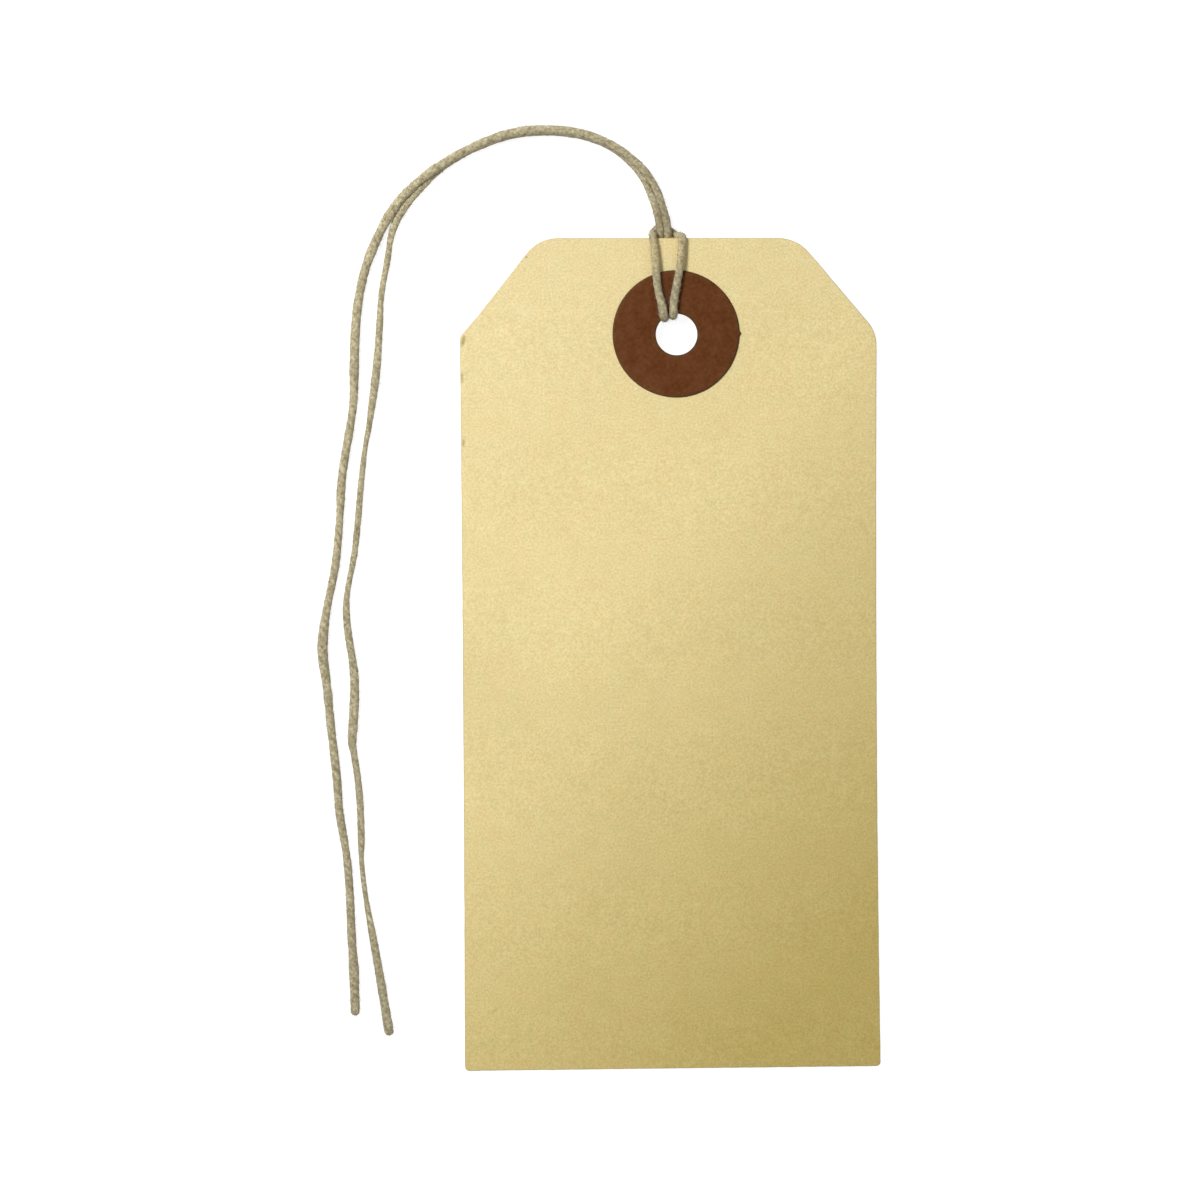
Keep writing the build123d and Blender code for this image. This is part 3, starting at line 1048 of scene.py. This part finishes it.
def ply_tree(material, values):
    """A node tree that twists plies along a path, with a named input for each value."""
    tree = bpy.data.node_groups.new("twisted_plies", "GeometryNodeTree")
    tree.interface.new_socket("Path", in_out="INPUT", socket_type="NodeSocketGeometry")
    for name, value in values.items():
        kind = "NodeSocketInt" if isinstance(value, int) else "NodeSocketFloat"
        tree.interface.new_socket(name, in_out="INPUT", socket_type=kind)
    tree.interface.new_socket("String", in_out="OUTPUT", socket_type="NodeSocketGeometry")
    given = tree.nodes.new("NodeGroupInput").outputs
    spot = output_of(tree, "GeometryNodeInputPosition")
    run = add_node(tree, "GeometryNodeSplineParameter").outputs["Length"]
    seeded = maths(tree, "ADD", run, given["Seed"])
    inputs = {
        "Curve": twisted_path(tree, given, run, seeded), "Profile Curve": ply_section(tree, given, spot),
        "Scale": string_thickness(tree, given, run, seeded), "Fill Caps": True}
    string = output_of(tree, "GeometryNodeCurveToMesh", inputs)
    joined = add_node(tree, "GeometryNodeJoinGeometry", {0: loose_fibres(tree, given, string, spot)})
    tree.links.new(string, joined.inputs[0])
    string = output_of(tree, "GeometryNodeRealizeInstances", {"Geometry": joined.outputs[0]})
    string = output_of(tree, "GeometryNodeSetShadeSmooth", {"Geometry": string})
    string = output_of(tree, "GeometryNodeSetMaterial", {"Geometry": string, "Material": material})
    tree.links.new(string, tree.nodes.new("NodeGroupOutput").inputs[0])
    return tree


def twisted_string(line, girths, look, material):
    """The whole string as one plain mesh."""
    path = bpy.data.meshes.new("string_path")
    path.from_pydata(line, [(index, index + 1) for index in range(len(line) - 1)], [])
    path.attributes.new("girth", "FLOAT", "POINT").data.foreach_set("value", girths)
    holder = add_object("string_path", path)
    values = {
        "Radius": look.diameter / 2 * (1 + look.swell), "Plies": look.plies, "Groove": look.groove,
        "Pitch": look.pitch, "Ring spacing": look.ring, "Tip": look.tip, "Unevenness": look.uneven,
        "Wander": look.wander, "Seed": look.seed, "Fibre length": look.fibre_length,
        "Fibre radius": look.fibre_width / 2, "Fibre density": look.fibre_count / MM ** 2,
    }
    modifier = holder.modifiers.new("plies", "NODES")
    modifier.node_group = ply_tree(material, values)
    for item in modifier.node_group.interface.items_tree:
        if item.name in values:
            modifier[item.identifier] = values[item.name]
    string = plain_mesh(holder)
    bpy.data.meshes.remove(path)
    return string


def stretch_of(name, string, first, last):
    """The part of the string from one distance along it to another, closed at its cuts."""
    mesh = bmesh.new()
    mesh.from_mesh(string)
    run = mesh.verts.layers.float["run"]
    outside = []
    for face in mesh.faces:
        middle = sum(vertex[run] for vertex in face.verts) / len(face.verts)
        if not first <= middle <= last:
            outside.append(face)
    bmesh.ops.delete(mesh, geom=outside, context="FACES")
    bmesh.ops.holes_fill(mesh, edges=[edge for edge in mesh.edges if edge.is_boundary])
    bmesh.ops.recalc_face_normals(mesh, faces=mesh.faces[:])
    return piece_from(name, mesh, string.materials)


class GIFT_TAG_OT_make_string(bpy.types.Operator):
    """Makes the twisted string: the hitch through the eyelet and its two tails."""

    bl_idname = "gift_tag.make_string"
    bl_label = "Make string"

    def execute(self, context):
        look = context.scene.gift_tag_string
        points = string_points()
        line = smooth_line(points)
        runs = run_lengths(line)
        left, right = (
            nearest_run(line, runs, Vector((across * MM, along * MM, NECK_TURN.z)))
            for across, along in (LEFT_NECK, RIGHT_NECK))
        first_cut = left - NECK_LENGTH
        last_cut = right + NECK_LENGTH
        point_runs = [nearest_run(line, runs, point) for point, _ in points]
        girths = np.interp(runs, point_runs, [girth for _, girth in points])
        string = twisted_string(line, girths, look, cotton_material(look))
        hitch = stretch_of("string_loop", string, first_cut, last_cut)
        inner = stretch_of("string_inner", string, 0.0, first_cut)
        outer = stretch_of("string_outer", string, last_cut, runs[-1] + 1.0)
        blend_end = NECK_TURN + Vector((0.0, BLEND_LENGTH, 0.0))
        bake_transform(hitch, "tag", "tails", start=NECK_TURN, end=blend_end)
        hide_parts("string_hitch")
        inner_path = [place for place, run in zip(line, runs) if run <= first_cut][::-1]
        outer_path = [place for place, run in zip(line, runs) if run >= last_cut]
        tails = (
            (inner, "string_inner_tail", inner_path, []),
            (outer, "string_outer_tail", outer_path, [hitch]),
        )
        for piece, node, path, with_pieces in tails:
            seat(piece, node, "tails")
        bpy.data.meshes.remove(string)
        return {"FINISHED"}


def seen_directly(tree):
    """1 for what the camera sees, also mirrored or through glass, and 0 for other light."""
    rays = add_node(tree, "ShaderNodeLightPath").outputs
    seen = maths(tree, "MAXIMUM", rays["Is Camera Ray"], rays["Is Glossy Ray"])
    return maths(tree, "MAXIMUM", seen, rays["Is Transmission Ray"])


def floor_material(look):
    """White floor that keeps a faint shadow and can be seen through from below."""
    material = bpy.data.materials.new("floor_white")
    material.use_nodes = True
    tree = material.node_tree
    tree.nodes.clear()
    plain = output_of(tree, "ShaderNodeBsdfDiffuse", {"Color": grey(PLAIN_FLOOR)})
    shaded = output_of(tree, "ShaderNodeBsdfDiffuse", {"Color": grey(look.floor_shade)})
    white = output_of(tree, "ShaderNodeEmission", {"Strength": look.floor_white})
    shown = output_of(tree, "ShaderNodeAddShader", {0: shaded, 1: white})
    top = output_of(tree, "ShaderNodeMixShader", {0: seen_directly(tree), 1: plain, 2: shown})
    below = add_node(tree, "ShaderNodeNewGeometry").outputs["Backfacing"]
    clear = output_of(tree, "ShaderNodeBsdfTransparent")
    both = output_of(tree, "ShaderNodeMixShader", {0: below, 1: top, 2: clear})
    add_node(tree, "ShaderNodeOutputMaterial", {0: both})
    return material


def light_world(look):
    """Even light from all round, shown as white behind the object."""
    world = bpy.data.worlds.new("studio")
    bpy.context.scene.world = world
    world.use_nodes = True
    tree = world.node_tree
    tree.nodes.clear()
    even = output_of(tree, "ShaderNodeBackground", {"Strength": look.fill})
    white = output_of(tree, "ShaderNodeBackground", {"Color": grey(1.0), "Strength": 1.0})
    both = output_of(tree, "ShaderNodeMixShader", {0: seen_directly(tree), 1: even, 2: white})
    add_node(tree, "ShaderNodeOutputWorld", {0: both})


def add_lamp(name, energy, side, place, aim):
    """A square lamp at a place, turned to face its aim and hidden from the camera."""
    data = bpy.data.lights.new(name, "AREA")
    data.energy = energy
    data.size = side
    lamp = add_object(name, data)
    lamp.location = place
    lamp.rotation_euler = (aim - place).to_track_quat("-Z", "Y").to_euler()
    lamp.visible_camera = False


class GIFT_TAG_OT_make_stage(bpy.types.Operator):
    """Makes the floor, the lamps, the even light and the camera straight above."""

    bl_idname = "gift_tag.make_stage"
    bl_label = "Make stage"

    def execute(self, context):
        scene = context.scene
        look = scene.gift_tag_stage
        scene.view_settings.view_transform = "Standard"
        half = look.floor_half
        corners = [(-half, -half, 0), (half, -half, 0), (half, half, 0), (-half, half, 0)]
        data = bpy.data.meshes.new("floor")
        data.from_pydata(corners, [], [(0, 1, 2, 3)])
        data.materials.append(floor_material(look))
        floor = add_object("floor", data)
        light_world(look)
        origin = Vector((0.0, 0.0, 0.0))
        add_lamp("softbox", look.lamp_power, look.lamp_size, look.lamp_place, look.lamp_aim)
        add_lamp("bounce", look.bounce_power, look.bounce_size, look.bounce_place, origin)
        camera_data = bpy.data.cameras.new("camera")
        camera_data.sensor_width = SENSOR_WIDTH
        camera_data.lens = SENSOR_WIDTH * look.camera_height / PICTURE_WIDTH
        camera = add_object("camera", camera_data)
        camera.location = (*PICTURE_MIDDLE, look.camera_height)
        camera.rotation_euler = (0.0, 0.0, PICTURE_TURN)
        scene.camera = camera
        return {"FINISHED"}


class GIFT_TAG_PT_panel(bpy.types.Panel):
    """Lists the tag's pieces, each with its sizes and colours."""

    bl_label = "Gift tag"
    bl_idname = "GIFT_TAG_PT_panel"
    bl_space_type = "VIEW_3D"
    bl_region_type = "UI"
    bl_category = "Gift tag"

    def draw(self, context):
        for operator, look in STEPS:
            box = self.layout.box()
            box.operator(operator)
            group = getattr(context.scene, look)
            for name in type(group).__annotations__:
                box.prop(group, name)


LOOKS = {
    "gift_tag_card": CardLook,
    "gift_tag_patches": PatchLook,
    "gift_tag_string": StringLook,
    "gift_tag_stage": StageLook,
}
STEPS = [
    ("gift_tag.make_stage", "gift_tag_stage"),
    ("gift_tag.make_string", "gift_tag_string"),
    ("gift_tag.make_card", "gift_tag_card"),
    ("gift_tag.make_patches", "gift_tag_patches"),
]
CLASSES = [
    *LOOKS.values(),
    GIFT_TAG_OT_make_card,
    GIFT_TAG_OT_make_patches,
    GIFT_TAG_OT_make_string,
    GIFT_TAG_OT_make_stage,
    GIFT_TAG_PT_panel,
]


def register():
    for kind in CLASSES:
        bpy.utils.register_class(kind)
    for name, kind in LOOKS.items():
        setattr(bpy.types.Scene, name, bpy.props.PointerProperty(type=kind))


def unregister():
    for name in LOOKS:
        delattr(bpy.types.Scene, name)
    for kind in reversed(CLASSES):
        bpy.utils.unregister_class(kind)


def main():
    register()
    bpy.ops.gift_tag.make_stage()
    bpy.ops.gift_tag.make_string()
    bpy.ops.gift_tag.make_card()
    bpy.ops.gift_tag.make_patches()


if __name__ == "__main__":
    main()
